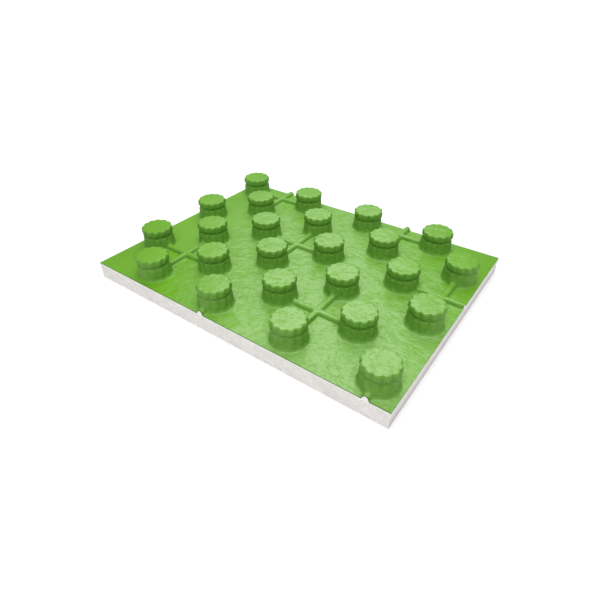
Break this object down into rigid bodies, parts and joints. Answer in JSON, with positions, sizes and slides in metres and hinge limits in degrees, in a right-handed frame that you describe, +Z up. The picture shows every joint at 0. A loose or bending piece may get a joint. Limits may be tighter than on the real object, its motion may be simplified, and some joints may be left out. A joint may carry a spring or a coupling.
{
  "type": "underfloor heating nub insulation board",
  "caption": "Rectangular expanded polystyrene insulation board with staggered lobed pipe-holding nubs, low cross ribs and a thin green facing film.",
  "frame": {"origin": "centre of the flat underside of the board", "axes": "+X along the long edges, +Y along the short edges, +Z up out of the nubbed face"},
  "size_m": [0.4, 0.3, 0.0473],
  "materials": {
    "eps": "white expanded polystyrene, fine bead texture",
    "film": "green thermoformed polystyrene film, soft gloss"
  },
  "bodies": {
    "root": {"eps_board": "eps", "film_facing": "film"}
  },
  "joints": []
}
